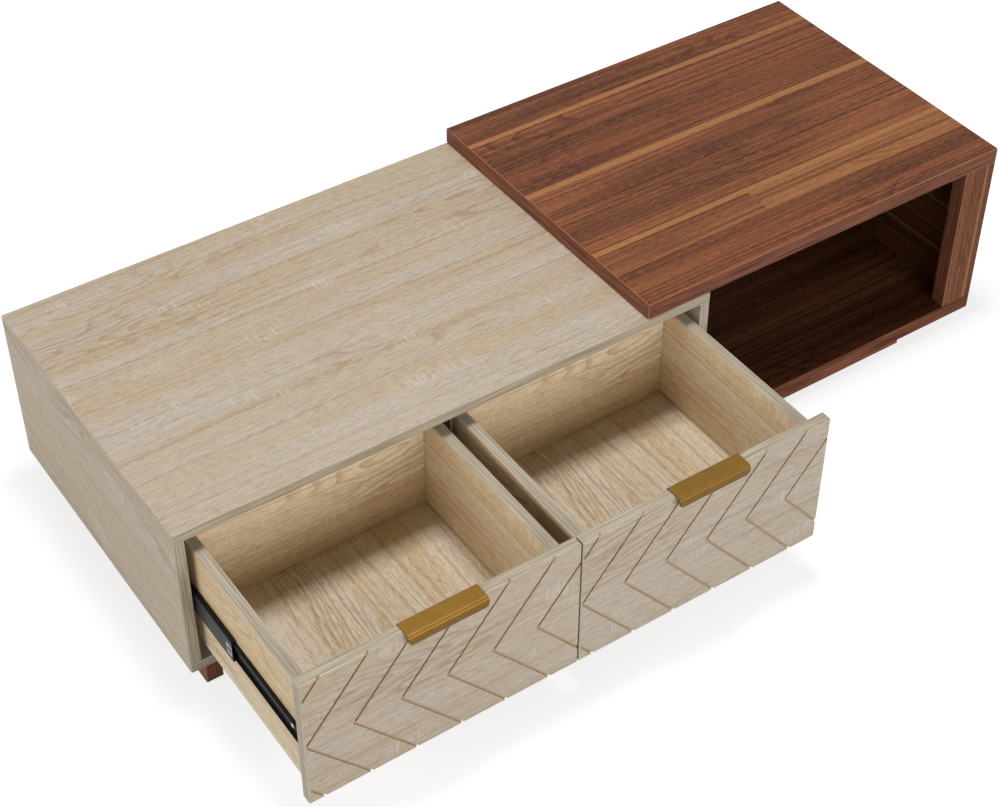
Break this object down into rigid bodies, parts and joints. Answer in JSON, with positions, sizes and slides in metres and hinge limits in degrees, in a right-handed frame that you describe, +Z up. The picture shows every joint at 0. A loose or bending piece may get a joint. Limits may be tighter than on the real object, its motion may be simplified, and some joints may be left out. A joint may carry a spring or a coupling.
{
  "type": "extendable coffee table",
  "caption": "Low rectangular coffee table with chevron-fronted drawers and a contrasting sleeve that slides out to lengthen the top and open a pass-through cubby.",
  "frame": {"origin": "on the floor, under the middle of the bounding box of the extended table with its drawers open", "axes": "+X along the length towards the sliding section, +Y from the drawer fronts to the back, +Z up"},
  "size_m": [1.388, 0.7944, 0.332],
  "materials": {
    "oak": "matt oak grain",
    "walnut": "matt walnut grain",
    "brass_pull": "satin",
    "black_runner": "satin black",
    "zinc_cage": "zinc plated",
    "grey_partition": "matt",
    "zinc_fitting": "zinc plated",
    "beech_dowel": "bare",
    "nylon_glide": "matt"
  },
  "bodies": {
    "cabinet": {"base_rail_glides": "nylon_glide", "cabinet_cam_bolts": "zinc_fitting", "cabinet_cam_locks": "zinc_fitting", "cabinet_dowels": "beech_dowel", "left_base_rail": "walnut", "left_drawer_cabinet_runners": "black_runner", "oak_back": "oak", "oak_bottom": "oak", "oak_left_side": "oak", "oak_right_side": "oak", "oak_top": "oak", "right_drawer_cabinet_runners": "black_runner", "slide_partition": "grey_partition"},
    "walnut_section": {"front_skid": "walnut", "glide_pads": "nylon_glide", "guide_bolts": "zinc_fitting", "guide_keepers": "zinc_fitting", "guide_shoes": "nylon_glide", "rear_skid": "walnut", "skid_glides": "nylon_glide", "walnut_bottom": "walnut", "walnut_cam_bolts": "zinc_fitting", "walnut_cam_locks": "zinc_fitting", "walnut_dowels": "beech_dowel", "walnut_end_panel": "walnut", "walnut_front_stile": "walnut", "walnut_rear_stile": "walnut", "walnut_top": "walnut"},
    "left_drawer": {"left_drawer_back": "oak", "left_drawer_bottom": "oak", "left_drawer_dowels": "beech_dowel", "left_drawer_drawer_runners": "black_runner", "left_drawer_front": "oak", "left_drawer_left_side": "oak", "left_drawer_pull": "brass_pull", "left_drawer_right_side": "oak"},
    "right_drawer": {"right_drawer_back": "oak", "right_drawer_bottom": "oak", "right_drawer_dowels": "beech_dowel", "right_drawer_drawer_runners": "black_runner", "right_drawer_front": "oak", "right_drawer_left_side": "oak", "right_drawer_pull": "brass_pull", "right_drawer_right_side": "oak"},
    "left_runners": {"left_drawer_ball_cages": "zinc_cage", "left_drawer_middle_runners": "black_runner"},
    "right_runners": {"right_drawer_ball_cages": "zinc_cage", "right_drawer_middle_runners": "black_runner"}
  },
  "joints": [
    {"name": "walnut_slide", "type": "slide", "parent": "cabinet", "child": "walnut_section", "axis": [1, 0, 0], "range_m": [-0.489, 0]},
    {"name": "left_drawer_slide", "type": "slide", "parent": "cabinet", "child": "left_drawer", "axis": [0, -1, 0], "range_m": [-0.276, 0.024]},
    {"name": "right_drawer_slide", "type": "slide", "parent": "cabinet", "child": "right_drawer", "axis": [0, -1, 0], "range_m": [-0.276, 0.024]},
    {"name": "left_runner_slide", "type": "slide", "parent": "cabinet", "child": "left_runners", "axis": [0, -1, 0], "range_m": [-0.138, 0.012]},
    {"name": "right_runner_slide", "type": "slide", "parent": "cabinet", "child": "right_runners", "axis": [0, -1, 0], "range_m": [-0.138, 0.012]}
  ],
  "couplings": [
    {"joint": "left_runner_slide", "follows": "left_drawer_slide", "ratio": 0.5},
    {"joint": "right_runner_slide", "follows": "right_drawer_slide", "ratio": 0.5}
  ]
}
